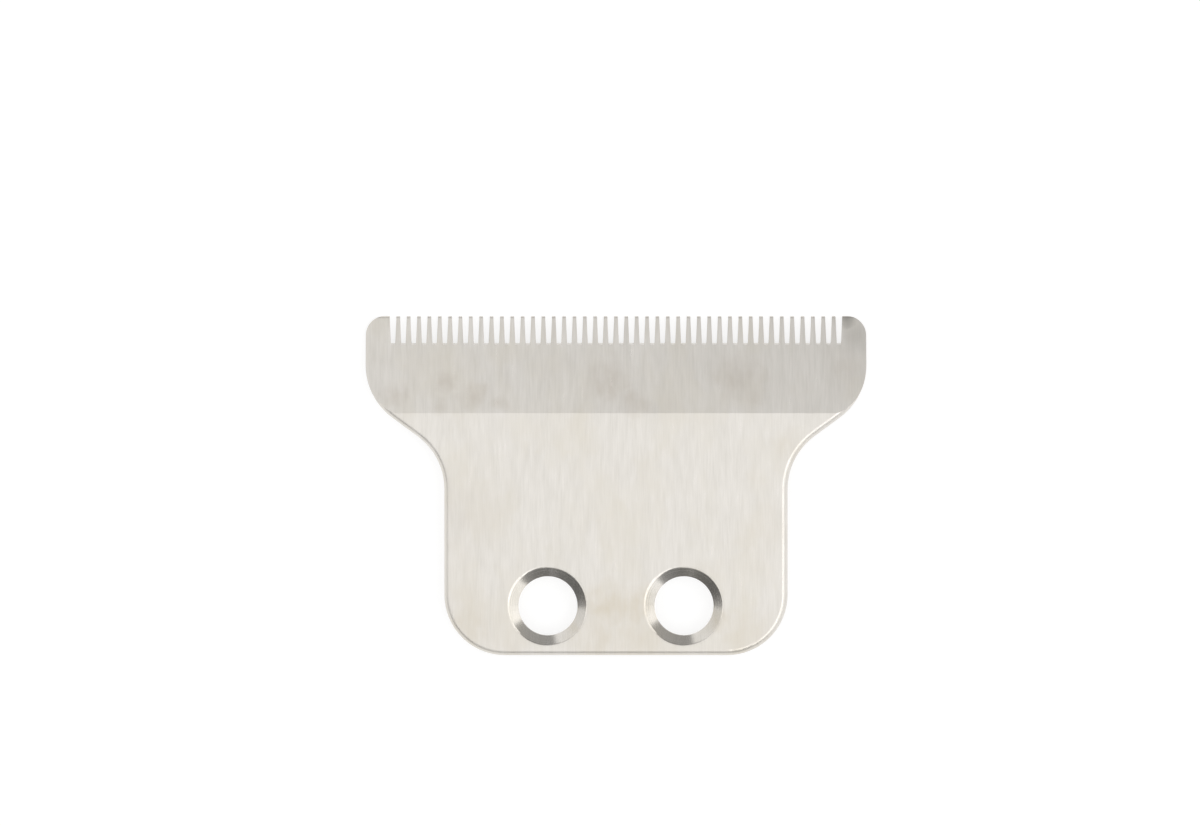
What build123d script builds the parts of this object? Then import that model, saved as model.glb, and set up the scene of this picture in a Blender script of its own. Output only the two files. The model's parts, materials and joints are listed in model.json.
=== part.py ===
from build123d import *
import os
from math import cos, radians, sin, tan

# Fixed T-blade of a hair clipper: one plate of tool steel, stamped to a T, ground to a bevel along
# its cutting edge, hollow ground underneath, slotted into a comb of teeth and drilled for two screws.
# X runs along the cutting edge, +Y points at the tooth tips and +Z out of the side that meets the skin.
# The origin is midway between the screw holes, on the flat face that seats against the clipper.
# All sizes are in millimetres and all angles in degrees.

# The stamped blank
BLADE_WIDTH = 38.1
NECK_WIDTH = 26.1
SHEET_THICKNESS = 1.8
HOLES_TO_TIPS = 22.05
REAR_WALL = 0.75  # metal left between a countersink and the rear edge
HEAD_SIDE_LENGTH = 6.25  # tooth tips back to where a side meets its slanting shoulder
SHOULDER_DROP = 4.4  # how far back each shoulder slants between the head and the neck
TIP_CORNER_RADIUS = 1.45
SHOULDER_RADIUS = 5.0
NECK_RADIUS = 5.0
REAR_CORNER_RADIUS = 4.6
DIE_ROLL_RADIUS = 0.45  # rounded rim that the stamping die leaves on the skin side

# The ground faces
BEVEL_LENGTH = 7.4  # tooth tips back to the line where the bevel starts
TIP_THICKNESS = 0.35
TIP_NOSE_RADIUS = 0.2  # rounds the tips on the skin side, so that they don't scratch
CUTTING_LAND_LENGTH = 1.95  # flat strip behind the tooth roots that the moving cutter rides on
HOLLOW_LENGTH = 4.5
HOLLOW_DEPTH = 0.25

# The comb of teeth
TOOTH_TIP_WIDTH = 0.27
TOOTH_LENGTH = 2.05
SLOT_MOUTH_WIDTH = 0.52
SLOT_ROOT_WIDTH = 0.34
SLOT_ROOT_RADIUS = 0.06
SLOT_RUNOUT_ANGLE = 10.0  # the grinding wheel leaves each root leaning back towards the skin side
GUARD_TOOTH_WIDTH = 1.805  # the plain tooth at each end

# The screw holes
HOLE_SPACING = 10.35
HOLE_DIAMETER = 4.5
COUNTERSINK_WIDTH = 0.75  # how far it spreads round its hole
COUNTERSINK_ANGLE = 120.0
COUNTERSINK_ROUNDING = 0.1  # how far its rounded mouth spreads over the face round it

# Sizes that more than one feature takes from those above
countersink_radius = HOLE_DIAMETER / 2 + COUNTERSINK_WIDTH
rear_y = -(countersink_radius + REAR_WALL)


def fitting_radii(corners, radii):
    """Each corner's radius, or as much of it as fits on half of the shorter side beside that corner."""
    fitted = []
    for i, (corner, radius) in enumerate(zip(corners, radii)):
        back = Vector(*corners[i - 1]) - Vector(*corner)
        ahead = Vector(*corners[(i + 1) % len(corners)]) - Vector(*corner)
        half_side = min(back.length, ahead.length) / 2
        fitted.append(min(radius, half_side * tan(radians(back.get_angle(ahead) / 2))))
    return fitted


def rounded_face(corners, radii):
    """A flat face with straight sides between its corners, each rounded to its own radius."""
    return make_face(FilletPolyline(*corners, radius=fitting_radii(corners, radii), close=True))


def spread(count, pitch):
    """Positions of count things, one pitch apart and centred on zero."""
    return [pitch * (i - (count - 1) / 2) for i in range(count)]


def stamped_blank():
    """The T cut from sheet, with the rim that the die leaves round its skin side."""
    shoulder_y = HOLES_TO_TIPS - HEAD_SIDE_LENGTH
    right_side = [
        (NECK_WIDTH / 2, rear_y),
        (NECK_WIDTH / 2, shoulder_y - SHOULDER_DROP),
        (BLADE_WIDTH / 2, shoulder_y),
        (BLADE_WIDTH / 2, HOLES_TO_TIPS),
    ]
    right_radii = [REAR_CORNER_RADIUS, NECK_RADIUS, SHOULDER_RADIUS, TIP_CORNER_RADIUS]
    left_side = [(-x, y) for x, y in reversed(right_side)]
    outline = rounded_face(right_side + left_side, right_radii + right_radii[::-1])
    plate = extrude(outline, SHEET_THICKNESS)
    skin_rim = plate.faces().sort_by(Axis.Z)[-1].edges()
    return fillet(skin_rim, min(DIE_ROLL_RADIUS, SHEET_THICKNESS / 2))


def ground_section():
    """What the grinding leaves, seen from the end and carried right across the blade: the seat face,
    the hollow, the cutting land, the rounded tips and the bevel up to the full thickness."""
    bevel_start = HOLES_TO_TIPS - BEVEL_LENGTH
    corners = [
        (rear_y, 0),
        (HOLES_TO_TIPS, 0),
        (HOLES_TO_TIPS, TIP_THICKNESS),
        (bevel_start, SHEET_THICKNESS),
        (rear_y, SHEET_THICKNESS),
    ]
    section = rounded_face(corners, [0, 0, TIP_NOSE_RADIUS, 0, 0])
    wheel_radius = (HOLLOW_LENGTH**2 / 4 + HOLLOW_DEPTH**2) / (2 * HOLLOW_DEPTH)
    hollow_middle = HOLES_TO_TIPS - TOOTH_LENGTH - CUTTING_LAND_LENGTH - HOLLOW_LENGTH / 2
    section -= Pos(hollow_middle, HOLLOW_DEPTH - wheel_radius) * Circle(wheel_radius)
    return extrude(Plane.YZ * section, BLADE_WIDTH / 2, both=True)


def tooth_slots():
    """The tapered slots between the teeth, as many as best fill the room between the two guard teeth.
    They are drawn on a leaning plane at the tips and cut square to it, so that each root lies further
    back on the skin side."""
    room = BLADE_WIDTH - 2 * GUARD_TOOTH_WIDTH - SLOT_MOUTH_WIDTH
    tooth_count = round(room / (TOOTH_TIP_WIDTH + SLOT_MOUTH_WIDTH))
    pitch = room / tooth_count
    lean = radians(SLOT_RUNOUT_ANGLE)
    leaning = Plane((0, HOLES_TO_TIPS, 0), x_dir=(1, 0, 0), z_dir=(0, -sin(lean), cos(lean)))
    length = TOOTH_LENGTH * cos(lean)
    overrun = TIP_THICKNESS  # carries the slots clear of the tips
    flare = (SLOT_MOUTH_WIDTH - SLOT_ROOT_WIDTH) / 2 / length
    outer_half_width = SLOT_MOUTH_WIDTH / 2 + flare * overrun
    corners = [
        (-SLOT_ROOT_WIDTH / 2, -length),
        (SLOT_ROOT_WIDTH / 2, -length),
        (outer_half_width, overrun),
        (-outer_half_width, overrun),
    ]
    slot = rounded_face(corners, [SLOT_ROOT_RADIUS, SLOT_ROOT_RADIUS, 0, 0])
    row = Sketch() + [Pos(x) * slot for x in spread(tooth_count + 1, pitch)]
    reach = (TOOTH_LENGTH + SHEET_THICKNESS) / cos(lean)
    return extrude(leaning * row, reach, both=True)


def screw_holes():
    """Two holes, countersunk from the skin side."""
    hole = CounterSinkHole(
        radius=HOLE_DIAMETER / 2,
        counter_sink_radius=countersink_radius,
        depth=SHEET_THICKNESS,
        counter_sink_angle=COUNTERSINK_ANGLE,
    )
    return [Pos(x, 0, SHEET_THICKNESS) * hole for x in spread(2, HOLE_SPACING)]


def rounded_mouths(blade):
    """The blade with the mouth of each countersink rounded, as far as the flat beside it allows."""
    skin_face = blade.faces().filter_by(Axis.Z).sort_by(Axis.Z)[-1]
    flat_left = REAR_WALL - DIE_ROLL_RADIUS
    turn = radians(90 - COUNTERSINK_ANGLE / 2)
    reach = min(COUNTERSINK_ROUNDING, flat_left / 2, COUNTERSINK_WIDTH / 2)
    return fillet(skin_face.inner_wires().edges(), reach / tan(turn / 2))


def fixed_blade():
    """The finished blade, made in the shop's order: stamp, grind, slot, drill and deburr."""
    blade = stamped_blank() & ground_section()
    blade -= tooth_slots()
    blade -= screw_holes()
    return rounded_mouths(blade)


os.makedirs("parts", exist_ok=True)
export_step(fixed_blade(), "parts/fixed_blade.step")
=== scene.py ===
# %% [markdown]
# # The fixed blade of a hair clipper
# This lesson dresses one small steel part: the T-shaped blade that lies against the skin while a second,
# moving blade slides behind it. The solid comes from CAD at its real size, with every tooth, hole and ground
# face in place, so no new mesh is needed. What makes steel look like steel is its finish and what it
# reflects, and that is what the cells below build.

# %% Load the blade as a fixed frame
import json

import bpy
import numpy as np
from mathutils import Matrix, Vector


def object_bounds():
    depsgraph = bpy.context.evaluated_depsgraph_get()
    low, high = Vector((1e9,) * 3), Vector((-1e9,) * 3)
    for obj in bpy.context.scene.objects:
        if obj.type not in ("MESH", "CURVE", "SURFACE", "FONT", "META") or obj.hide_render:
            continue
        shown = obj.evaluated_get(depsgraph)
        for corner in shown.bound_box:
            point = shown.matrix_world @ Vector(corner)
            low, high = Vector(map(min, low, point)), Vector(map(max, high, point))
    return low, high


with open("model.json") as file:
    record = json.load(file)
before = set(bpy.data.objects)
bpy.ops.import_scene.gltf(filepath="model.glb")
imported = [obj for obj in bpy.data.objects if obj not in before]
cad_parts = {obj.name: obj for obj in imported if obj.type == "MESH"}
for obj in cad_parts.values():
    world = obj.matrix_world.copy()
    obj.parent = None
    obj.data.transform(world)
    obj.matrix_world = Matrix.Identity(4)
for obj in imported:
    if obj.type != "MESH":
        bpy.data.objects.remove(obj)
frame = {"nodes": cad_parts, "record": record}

MM = 1000.0  # millimetres in a metre

cad_box = [list(corner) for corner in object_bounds()]
blade = frame["nodes"]["fixed_blade"]
low, high = (np.array(corner) for corner in cad_box)
print("blade size in mm:", np.round((high - low) * MM, 2), "triangles:", len(blade.data.polygons))

# %% [markdown]
# ## Sizes that the finishes need
# A pattern on a machined part follows its features: grinding lines run along the teeth, turning marks run
# round a hole, tarnish sits on the bevel. The blade's own mount data and box say where the holes and edges
# are, so that the finish can't drift away from the solid. The rest are a few sizes of the blade, in
# millimetres.

# %% Read the features' places from the frame
COUNTERSINK_WIDTH = 0.75  # how far a countersink spreads round its hole
DIE_ROLL = 0.45  # height of the rounded rim
TIP_NOSE = 0.25  # how far back the tips are rounded
COMB_DEPTH = 2.3  # tips back to just behind the roots of the slots
GUARD_TOOTH = 1.75  # width of the plain tooth at each end, less a little

mounts = {mount["name"]: mount for mount in frame["record"]["mounts"]}
hole_x = abs(mounts["right_screw_hole"]["pos_m"][0]) * MM
hole_radius = mounts["right_screw_hole"]["dims"]["r_mm"]
countersink_radius = hole_radius + COUNTERSINK_WIDTH
comb_half_width = high[0] * MM - GUARD_TOOTH
tip_y = high[1] * MM
thickness = high[2] * MM
print("holes at x of", hole_x, "mm, plate", round(thickness, 2), "mm thick")

# %% [markdown]
# ## Two helpers
# A colour picked from a picture is an sRGB code, but a shader works with light, which is linear. One function
# turns the first into the second. Another adds a node to a tree, sets it up and joins it to other nodes, so
# that a material reads as a list of steps.

# %% Colours and nodes
def linear(code):
    """RGBA in linear light from an sRGB hex code. A channel c becomes c / 12.92 near black and
    ((c + 0.055) / 1.055) ** 2.4 above that."""
    channels = np.array([int(code[i:i + 2], 16) for i in (1, 3, 5)]) / 255
    light = np.where(channels <= 0.04045, channels / 12.92, ((channels + 0.055) / 1.055) ** 2.4)
    return (*light.tolist(), 1.0)


def add(tree, kind, inputs=None, take=0, **settings):
    """Adds a node with its settings, gives each named or numbered input a value or a link, and returns the
    output that take names or numbers, or the whole node if take is None."""
    node = tree.nodes.new(kind)
    for name, value in settings.items():
        setattr(node, name, value)
    for key, value in (inputs or {}).items():
        if isinstance(value, bpy.types.NodeSocket):
            tree.links.new(value, node.inputs[key])
        else:
            node.inputs[key].default_value = value
    return node if take is None else node.outputs[take]


print("a pale steel grey in linear light:", np.round(linear("#E4DFD8")[:3], 3))

# %% [markdown]
# ## Where each finish lies
# The blade was stamped, ground, slotted and drilled, and each step leaves its own surface. One material can
# hold them all if it knows where it is: Object coordinates give the place in the blade's own frame, and the
# normal tells a face from a wall. Each mask below is 1 on one surface and 0 elsewhere. Picking faces by hand
# would do as well, but masks leave the CAD mesh as it came.

# %% Masks for the countersinks, the stamped walls, the rims and the underside
SLOPING = 0.95  # a normal's Z is 1 on a level face, 0 on a wall and -1 underneath
STEEP = 0.2
UNDERSIDE = -0.9
EDGE_SPARE = 0.02  # millimetres by which a countersink's mask passes its edge


def surface_masks(tree):
    """The place in millimetres, the distance from the nearer hole's axis, and a mask for each surface."""
    here = add(tree, "ShaderNodeTexCoord", take="Object")
    place = add(tree, "ShaderNodeVectorMath", {0: here, "Scale": MM}, operation="SCALE")
    xyz = add(tree, "ShaderNodeSeparateXYZ", {0: place}, take=None).outputs
    normal = add(tree, "ShaderNodeNewGeometry", take="True Normal")
    facing = add(tree, "ShaderNodeSeparateXYZ", {0: normal}, take="Z")
    level = add(tree, "ShaderNodeMath", {0: facing}, operation="ABSOLUTE")
    sloping = add(tree, "ShaderNodeMath", {0: level, 1: SLOPING}, operation="LESS_THAN")
    steep = add(tree, "ShaderNodeMath", {0: level, 1: STEEP}, operation="LESS_THAN")
    under = add(tree, "ShaderNodeMath", {0: facing, 1: UNDERSIDE}, operation="LESS_THAN")

    side = add(tree, "ShaderNodeMath", {0: xyz["X"]}, operation="ABSOLUTE")
    across = add(tree, "ShaderNodeMath", {0: side, 1: hole_x}, operation="SUBTRACT")
    from_hole = add(tree, "ShaderNodeCombineXYZ", {"X": across, "Y": xyz["Y"]})
    reach = add(tree, "ShaderNodeVectorMath", {0: from_hole}, take="Value", operation="LENGTH")
    ring_end = countersink_radius + EDGE_SPARE
    close = add(tree, "ShaderNodeMath", {0: reach, 1: ring_end}, operation="LESS_THAN")
    away = add(tree, "ShaderNodeMath", {0: 1.0, 1: close}, operation="SUBTRACT")
    ring = add(tree, "ShaderNodeMath", {0: sloping, 1: close}, operation="MULTIPLY")

    ahead = add(tree, "ShaderNodeMath", {0: xyz["Y"], 1: tip_y - COMB_DEPTH}, operation="GREATER_THAN")
    inner = add(tree, "ShaderNodeMath", {0: side, 1: comb_half_width}, operation="LESS_THAN")
    comb = add(tree, "ShaderNodeMath", {0: ahead, 1: inner}, operation="MULTIPLY")
    stamped = add(tree, "ShaderNodeMath", {0: away, 1: comb}, operation="SUBTRACT")
    wall = add(tree, "ShaderNodeMath", {0: steep, 1: stamped}, operation="MULTIPLY")

    raised = add(tree, "ShaderNodeMath", {0: xyz["Z"], 1: thickness - DIE_ROLL}, operation="GREATER_THAN")
    tip = add(tree, "ShaderNodeMath", {0: xyz["Y"], 1: tip_y - TIP_NOSE}, operation="GREATER_THAN")
    outer = add(tree, "ShaderNodeMath", {0: raised, 1: tip}, operation="MAXIMUM")
    edge = add(tree, "ShaderNodeMath", {0: sloping, 1: away}, operation="MULTIPLY")
    rim = add(tree, "ShaderNodeMath", {0: edge, 1: outer}, operation="MULTIPLY")
    return {"place": place, "height": xyz["Z"], "reach": reach, "ring": ring, "wall": wall, "rim": rim,
            "under": under}


print("the comb ends", round(comb_half_width, 2), "mm from the middle, each countersink", countersink_radius,
      "mm from its axis")

# %% [markdown]
# ## Lines that the tools leave
# A grinding wheel drags its grit along the teeth and leaves fine parallel lines, some bright and some dull.
# Stretching a noise pattern makes lines: the width across them and the run along them set the stretch. A
# countersink turns round its hole, so there the noise runs along the radius alone, and on the stamped edge
# the punch drew its lines from face to face. The real lines are a few hundredths of a millimetre apart, too
# fine to show from this far, so they are drawn 0.1 to 0.5 mm wide.

# %% Grinding, turning and shearing lines
FINE_LINES = (0.12, 1.8, 1.8)  # millimetres along X, Y and Z
BROAD_LINES = (0.45, 2.6, 2.6)
SHEAR_LINES = (0.15, 0.15, 2.5)
TURNING_LINE = 0.08
NOISE_LOW, NOISE_HIGH = 0.3, 0.7  # most of a noise pattern lies between these


def lines(tree, place, size_mm):
    """Noise from 0 to 1 with features as large as size_mm gives along X, Y and Z."""
    stretch = tuple(1 / size for size in size_mm)
    stretched = add(tree, "ShaderNodeMapping", {"Vector": place, "Scale": stretch})
    return add(tree, "ShaderNodeTexNoise", {"Vector": stretched, "Scale": 1.0, "Detail": 2.0})


def turning_lines(tree, reach, width_mm):
    """Noise from 0 to 1 that changes only with the distance from a hole's axis."""
    along = add(tree, "ShaderNodeMath", {0: reach, 1: 1 / width_mm}, operation="MULTIPLY")
    return add(tree, "ShaderNodeTexNoise", {"W": along, "Scale": 1.0, "Detail": 1.0}, noise_dimensions="1D")


print("grinding lines", FINE_LINES[0], "and", BROAD_LINES[0], "mm wide")

# %% [markdown]
# ## Tarnish and painted shade
# Bare steel keeps a record of where it was touched and where water dried: faint grey spots, most of them on
# the bevel, and a warm film round the screw holes and in the rear corners. The tip of one guard tooth gets a
# dark patch of painted shade. Each patch is a soft circle at a listed place, with a strength of its own, and
# noise pushes its edge about so that it looks grown rather than drawn.

# %% Patches with ragged edges
GREY_SPOTS = [  # x, y and radius in millimetres, then strength
    (-16.9, 16.0, 1.4, 0.8), (-12.8, 17.1, 1.3, 0.7), (-10.9, 16.0, 1.6, 0.7), (-13.3, 15.3, 1.0, 0.5),
    (-8.7, 15.4, 1.0, 0.5), (-0.6, 17.1, 2.6, 0.8), (1.4, 15.5, 1.7, 0.7), (9.3, 17.4, 2.8, 0.7),
    (10.6, 15.8, 1.6, 0.5), (17.6, 18.0, 2.4, 0.4), (-11.5, 6.5, 4.5, 0.3),
]
WARM_FILM = [
    (-0.6, 0.0, 2.6, 1.0), (1.4, 0.0, 2.6, 1.0), (-3.3, -1.7, 1.2, 0.7), (7.6, -1.2, 1.5, 0.8),
    (-11.0, -1.1, 3.4, 0.6), (-8.2, -2.8, 2.2, 0.4), (10.0, -2.2, 3.0, 0.5), (11.2, 5.7, 3.0, 0.3),
    (13.4, 11.8, 2.2, 0.4), (-1.1, -2.4, 3.6, 0.6), (1.9, -2.4, 3.6, 0.6),
]
# painted shade: a dark patch on the tip of one guard tooth, each entry x, y, radius and strength
PAINTED_TIP_SHADE = [(17.6, 21.9, 1.3, 0.65), (18.3, 20.6, 2.2, 0.25)]


def patches(tree, place, spots):
    """Each spot's strength in its middle, falling smoothly to 0 at its radius, all of them laid together."""
    covered = 0.0
    for x, y, radius, strength in spots:
        offset = add(tree, "ShaderNodeVectorMath", {0: place, 1: (x, y, 0)}, operation="SUBTRACT")
        flat = add(tree, "ShaderNodeVectorMath", {0: offset, 1: (1, 1, 0)}, operation="MULTIPLY")
        distance = add(tree, "ShaderNodeVectorMath", {0: flat}, take="Value", operation="LENGTH")
        spot = add(tree, "ShaderNodeMapRange", {0: distance, 1: radius, 2: 0.0, 4: strength},
                   interpolation_type="SMOOTHSTEP")
        covered = add(tree, "ShaderNodeMath", {0: covered, 1: spot}, operation="MAXIMUM")
    return covered


def ragged(tree, place, size_mm, push_mm):
    """The place pushed about by up to push_mm, in waves of size_mm."""
    noise = {"Vector": place, "Scale": 1 / size_mm, "Detail": 3.0}
    waves = add(tree, "ShaderNodeTexNoise", noise, take="Color")
    centred = add(tree, "ShaderNodeVectorMath", {0: waves, 1: (0.5, 0.5, 0.5)}, operation="SUBTRACT")
    push = add(tree, "ShaderNodeVectorMath", {0: centred, "Scale": 2 * push_mm}, operation="SCALE")
    return add(tree, "ShaderNodeVectorMath", {0: place, 1: push}, operation="ADD")


print(len(GREY_SPOTS), "grey spots and", len(WARM_FILM), "patches of warm film")

# %% [markdown]
# ## The colour of ground steel
# The bare metal is a pale warm grey, lighter along some grinding lines than along others. Stains lie over it
# in the order in which they came: wide faint clouds, then the film and the spots, both broken up by the grain
# of the surface. Painted shade on one guard tooth's tip goes on last. The hidden side has only the clouds.
# Each layer is a mask and a colour, so one short loop lays them all on.

# %% Grinding lines, then clouds, then tarnish, then painted shade
CLOUDS = (3.0, 5.0, 3.0)  # millimetres along X, Y and Z
CLOUD_NOISE = (0.45, 0.75)  # the noise at which a cloud starts and at which it is fullest
CLOUD_STRENGTH = 0.5
MOTTLE = (0.7, 1.6, 1.6)
MOTTLE_NOISE = (0.35, 0.65)
MOTTLE_LEAST = 0.5  # share of a stain that is left where the grain breaks it up most
STAIN_EDGE = (1.3, 1.1)  # size of the waves in a stain's edge and how far they push it, in millimetres
# the ragged edge of the painted shade on the guard tooth's tip
TIP_SHADE_EDGE = (0.8, 0.35)
STAIN_AND_SHADE_COLOURS = ["#DCD6C9", "#D5CDBE", "#CFC8BE", "#8E8C86"]  # clouds, film, spots, then painted shade


def steel_colour(tree, masks):
    """Base colour of the ground faces, and the noise of their grinding lines, from 0 to 1."""
    place = masks["place"]
    fine = lines(tree, place, FINE_LINES)
    broad = lines(tree, place, BROAD_LINES)
    grinding = add(tree, "ShaderNodeMix", {0: 0.5, 2: fine, 3: broad})
    streak = add(tree, "ShaderNodeMapRange", {0: grinding, 1: NOISE_LOW, 2: NOISE_HIGH})
    dull, bright = linear("#DAD6CF"), linear("#E7E3DD")
    tone = add(tree, "ShaderNodeMix", {0: streak, 6: dull, 7: bright}, 2, data_type="RGBA")

    moved = ragged(tree, place, *STAIN_EDGE)
    cloud = lines(tree, moved, CLOUDS)
    start, full = CLOUD_NOISE
    cloud = add(tree, "ShaderNodeMapRange", {0: cloud, 1: start, 2: full, 4: CLOUD_STRENGTH})
    mottle = lines(tree, place, MOTTLE)
    start, full = MOTTLE_NOISE
    mottle = add(tree, "ShaderNodeMapRange", {0: mottle, 1: start, 2: full, 3: MOTTLE_LEAST})
    exposed = add(tree, "ShaderNodeMath", {0: 1.0, 1: masks["under"]}, operation="SUBTRACT")
    broken = add(tree, "ShaderNodeMath", {0: mottle, 1: exposed}, operation="MULTIPLY")
    film = patches(tree, moved, WARM_FILM)
    film = add(tree, "ShaderNodeMath", {0: film, 1: broken}, operation="MULTIPLY")
    spots = patches(tree, moved, GREY_SPOTS)
    spots = add(tree, "ShaderNodeMath", {0: spots, 1: broken}, operation="MULTIPLY")
    # painted shade on the tip of one guard tooth, kept off the hidden side
    tip_shade = patches(tree, ragged(tree, place, *TIP_SHADE_EDGE), PAINTED_TIP_SHADE)
    tip_shade = add(tree, "ShaderNodeMath", {0: tip_shade, 1: exposed}, operation="MULTIPLY")
    for cover, code in zip([cloud, film, spots, tip_shade], STAIN_AND_SHADE_COLOURS):
        tone = add(tree, "ShaderNodeMix", {0: cover, 6: tone, 7: linear(code)}, 2, data_type="RGBA")
    return tone, grinding


print("stain colours, in the order in which they are laid on:", STAIN_AND_SHADE_COLOURS)

# %% [markdown]
# ## The stamped wall
# A punch cuts sheet in two stages. It shears the upper part of the wall and rubs it bright, and then the rest
# tears off and leaves a dull, grainy band. The shearing lines push the border between the two up and down, so
# it comes out ragged.

# %% The torn part of the wall
TORN_BELOW = (0.75, 1.1)  # heights in millimetres between which the tear fades out
TEAR_PUSH = 0.35  # how far the shearing lines move those heights down
TEAR_GRAIN = (0.12, 0.12, 0.2)


def torn_wall(tree, masks, sheared):
    """A mask that is 1 where the wall tore, the noise of its grain from 0 to 1, and its colour."""
    inputs = {0: sheared, 1: TEAR_PUSH, 2: masks["height"]}
    pushed_height = add(tree, "ShaderNodeMath", inputs, operation="MULTIPLY_ADD")
    torn = add(tree, "ShaderNodeMapRange", {0: pushed_height, 1: TORN_BELOW[1], 2: TORN_BELOW[0]})
    torn = add(tree, "ShaderNodeMath", {0: torn, 1: masks["wall"]}, operation="MULTIPLY")
    grain = lines(tree, masks["place"], TEAR_GRAIN)
    speckle = add(tree, "ShaderNodeMapRange", {0: grain, 1: NOISE_LOW, 2: NOISE_HIGH})
    dark, pale = linear("#BFBAB2"), linear("#CFCAC2")
    colour = add(tree, "ShaderNodeMix", {0: speckle, 6: dark, 7: pale}, 2, data_type="RGBA")
    return torn, grain, colour


print("grain of the tear", TEAR_GRAIN[0], "mm wide")

# %% [markdown]
# ## Surface-ground steel
# Hardened tool steel, ground and not polished, has a satin glow. Colour, roughness and bump follow the same
# lines, as they do on the metal. The countersinks were cut clean and shine more than the faces, the rounded
# rims shine less, because no wheel reached them, and the torn wall hardly shines at all.

# %% The blade's material
RELIEF = 0.002  # depth of the tool lines in millimetres
TEAR_DEPTH = 2.0  # how many times deeper the torn grain is
DULL_LINE, BRIGHT_LINE = 0.34, 0.27  # roughness of the grinding lines


def ground_steel():
    """Hardened tool steel, surface ground: pale warm grey, satin, streaked along the teeth."""
    material = bpy.data.materials.new("surface_ground_steel")
    material.use_nodes = True
    tree = material.node_tree
    masks = surface_masks(tree)
    colour, grinding = steel_colour(tree, masks)
    turned = turning_lines(tree, masks["reach"], TURNING_LINE)
    sheared = lines(tree, masks["place"], SHEAR_LINES)
    torn, grain, torn_colour = torn_wall(tree, masks, sheared)
    colour = add(tree, "ShaderNodeMix", {0: torn, 6: colour, 7: torn_colour}, 2, data_type="RGBA")

    gloss = {0: grinding, 1: NOISE_LOW, 2: NOISE_HIGH, 3: DULL_LINE, 4: BRIGHT_LINE}
    rough = add(tree, "ShaderNodeMapRange", gloss)
    rim, ring, wall, under = (masks[name] for name in ("rim", "ring", "wall", "under"))
    for cover, roughness in [(rim, 0.4), (ring, 0.2), (wall, 0.32), (torn, 0.5), (under, 0.24)]:
        rough = add(tree, "ShaderNodeMix", {0: cover, 2: rough, 3: roughness})

    coarse = add(tree, "ShaderNodeMath", {0: grain, 1: TEAR_DEPTH}, operation="MULTIPLY")
    relief = grinding
    for cover, pattern in [(ring, turned), (wall, sheared), (torn, coarse)]:
        relief = add(tree, "ShaderNodeMix", {0: cover, 2: relief, 3: pattern})
    bump = add(tree, "ShaderNodeBump", {"Height": relief, "Strength": 1.0, "Distance": RELIEF / MM})

    shader = tree.nodes["Principled BSDF"]
    shader.inputs["Metallic"].default_value = 1.0
    for name, output in [("Base Color", colour), ("Roughness", rough), ("Normal", bump)]:
        tree.links.new(output, shader.inputs[name])
    return material


blade.data.materials.clear()
blade.data.materials.append(ground_steel())
print("materials:", [material.name for material in blade.data.materials])

# %% [markdown]
# ## The floor
# The blade lies on its flat seat face on a plain white table. A lamp strong enough to make the table white
# would burn out the steel, so the table has two parts: a matt grey, which the lamps light and the blade
# shades softly, and a glow that only the camera and reflections see, which lifts it to paper white.

# %% A white table
FLOOR_HALF = 1.5  # metres from the middle to an edge
TABLE_GLOW = 0.76  # lifts the lit grey to white

corners = np.array([[-1, -1, 0], [1, -1, 0], [1, 1, 0], [-1, 1, 0]]) * FLOOR_HALF
floor_mesh = bpy.data.meshes.new("table")
floor_mesh.from_pydata(corners.tolist(), [], [(0, 1, 2, 3)])
floor = bpy.data.objects.new("table", floor_mesh)
bpy.context.scene.collection.objects.link(floor)


def white_table():
    """Matt table top that glows to the camera and to reflections."""
    material = bpy.data.materials.new("white_table")
    material.use_nodes = True
    tree = material.node_tree
    tree.nodes.remove(tree.nodes["Principled BSDF"])
    rays = add(tree, "ShaderNodeLightPath", take=None).outputs
    seen = rays["Is Camera Ray"]
    for name in ("Is Glossy Ray", "Is Transmission Ray"):
        seen = add(tree, "ShaderNodeMath", {0: seen, 1: rays[name]}, operation="MAXIMUM")
    strength = add(tree, "ShaderNodeMath", {0: seen, 1: TABLE_GLOW}, operation="MULTIPLY")
    matt = add(tree, "ShaderNodeBsdfDiffuse", {"Color": linear("#9A9A9A")})
    glow = add(tree, "ShaderNodeEmission", {"Color": linear("#FFFFFF"), "Strength": strength})
    both = add(tree, "ShaderNodeAddShader", {0: matt, 1: glow})
    tree.links.new(both, tree.nodes["Material Output"].inputs["Surface"])
    return material


floor_mesh.materials.append(white_table())
print("table", 2 * FLOOR_HALF, "m across")

# %% [markdown]
# ## Light
# Flat steel is a mirror with a soft focus: it shows the lamp above it. The bevel leans towards the tips and
# shows what is a little further that way, near the lamp's edge, so it comes out darker. The countersinks show
# what is low down on the far side, bright where a lamp stands and dark between the lamps.

# %% Three softboxes
def softbox(name, bearing_deg, height_deg, distance, width, depth, radiance):
    """A rectangular lamp that faces the blade, with its sizes in metres. The power of an even panel is pi
    times its area times its radiance."""
    bearing, height = np.radians([bearing_deg, height_deg])
    away = np.array([np.cos(bearing) * np.cos(height), np.sin(bearing) * np.cos(height), np.sin(height)])
    lamp = bpy.data.lights.new(name, "AREA")
    lamp.shape = "RECTANGLE"
    lamp.size, lamp.size_y = width, depth
    lamp.energy = np.pi * width * depth * radiance
    holder = bpy.data.objects.new(name, lamp)
    holder.location = away * distance
    holder.rotation_euler = (np.pi / 2 - height, 0, bearing + np.pi / 2)
    bpy.context.scene.collection.objects.link(holder)


softbox("overhead_softbox", bearing_deg=223, height_deg=75, distance=0.5,
        width=0.76, depth=0.74, radiance=0.74)
softbox("right_softbox", bearing_deg=350, height_deg=50, distance=0.8,
        width=1.0, depth=0.66, radiance=1.0)
softbox("left_back_softbox", bearing_deg=142, height_deg=30, distance=0.8,
        width=1.0, depth=0.6, radiance=0.66)

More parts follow.
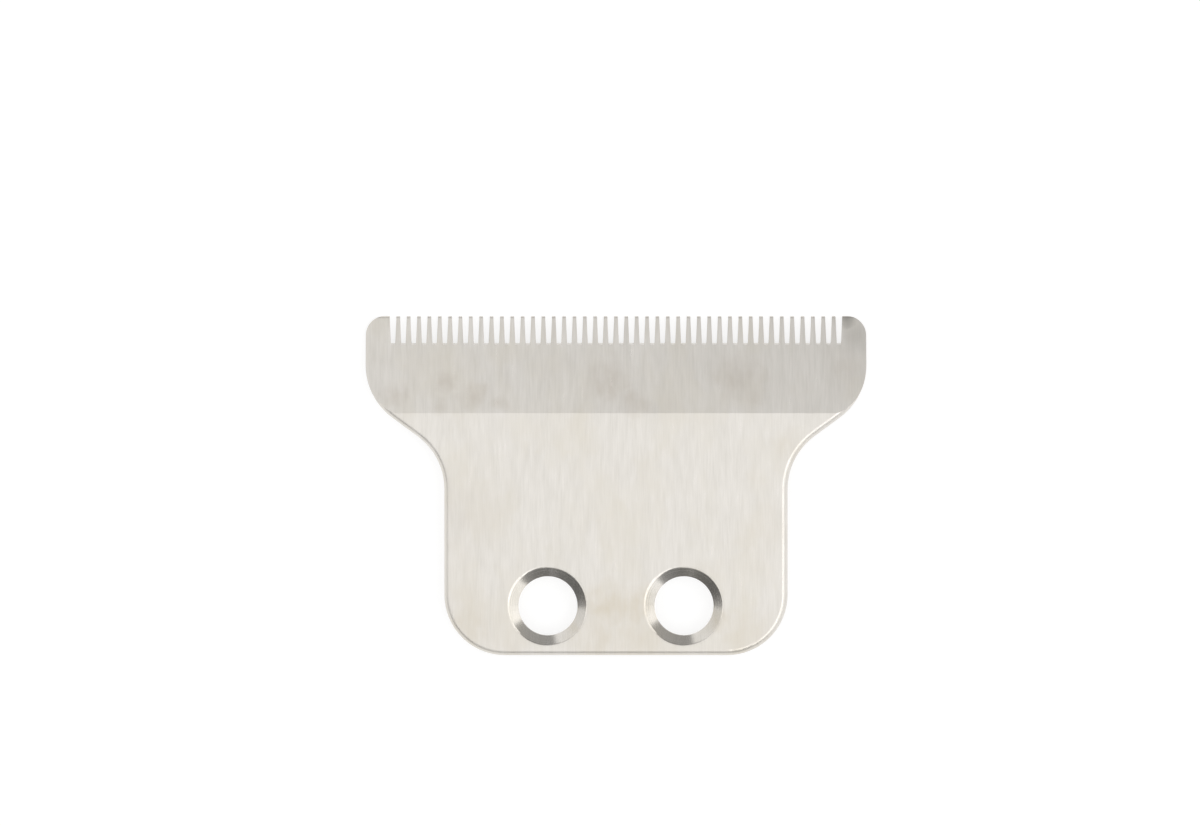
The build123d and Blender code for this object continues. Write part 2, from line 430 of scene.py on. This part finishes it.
# %% [markdown]
# ## The room
# Between the lamps the steel shows the room. Low down it is as white as the table, which keeps the rounded
# rims light, and the ceiling is a plain grey. The belt between them is dim, and a little brighter beyond the
# right-hand tips: it draws the dark arcs in the countersinks, and without it they would hardly be seen.

# %% White below, dim in the middle, grey above
ROOM_BRIGHTENS = np.radians(42)  # bearing of the brighter wall
BELT_BLACK_AT = -0.75  # cosine of the angle from that bearing at which the belt turns black
WHITE_BELOW, DIM_AT, CEILING_ABOVE = 0.25, 0.5, 0.8  # sines of heights above the horizon
BRIGHTEST_WALL = 0.42
CEILING = 0.3

world = bpy.data.worlds.new("room")
world.use_nodes = True
tree = world.node_tree
direction = add(tree, "ShaderNodeTexCoord", take="Generated")
brighter = (np.cos(ROOM_BRIGHTENS), np.sin(ROOM_BRIGHTENS), 0)
along = add(tree, "ShaderNodeVectorMath", {0: direction, 1: brighter}, take="Value", operation="DOT_PRODUCT")
level = add(tree, "ShaderNodeMapRange", {0: along, 1: BELT_BLACK_AT, 2: 1.0, 4: BRIGHTEST_WALL})
rise = add(tree, "ShaderNodeSeparateXYZ", {0: direction}, take="Z")
for end, strength in [(WHITE_BELOW, 1.0), (CEILING_ABOVE, CEILING)]:
    part = add(tree, "ShaderNodeMapRange", {0: rise, 1: DIM_AT, 2: end}, interpolation_type="SMOOTHSTEP")
    level = add(tree, "ShaderNodeMix", {0: part, 2: level, 3: strength})
background = tree.nodes["Background"]
background.inputs["Color"].default_value = linear("#FFFFFF")
tree.links.new(level, background.inputs["Strength"])
bpy.context.scene.world = world
bpy.context.scene.view_settings.view_transform = "Standard"
print("room brightens towards", np.round(brighter, 2))

# %% [markdown]
# ## The camera
# The photograph was taken from straight above. A long lens held far away keeps the walls of the blade out of
# sight, as there. The pixel where the holes' middle lies and the blade's width in pixels give its place.

# %% Look straight down
PHOTO_SIZE = np.array([1200, 826])
HOLES_MIDDLE_PIXEL = np.array([616.0, 606.0])
BLADE_WIDTH_PIXELS = 501.5
LENS_MM = 200.0

metres_per_pixel = (high[0] - low[0]) / BLADE_WIDTH_PIXELS
offset = (PHOTO_SIZE / 2 - HOLES_MIDDLE_PIXEL) * metres_per_pixel
camera_data = bpy.data.cameras.new("camera")
camera_data.lens = LENS_MM
distance = PHOTO_SIZE[0] * metres_per_pixel * LENS_MM / camera_data.sensor_width
camera = bpy.data.objects.new("camera", camera_data)
camera.location = (offset[0], -offset[1], high[2] + distance)
bpy.context.scene.collection.objects.link(camera)
bpy.context.scene.camera = camera
print("camera at", np.round(np.array(camera.location) * MM, 1), "mm")
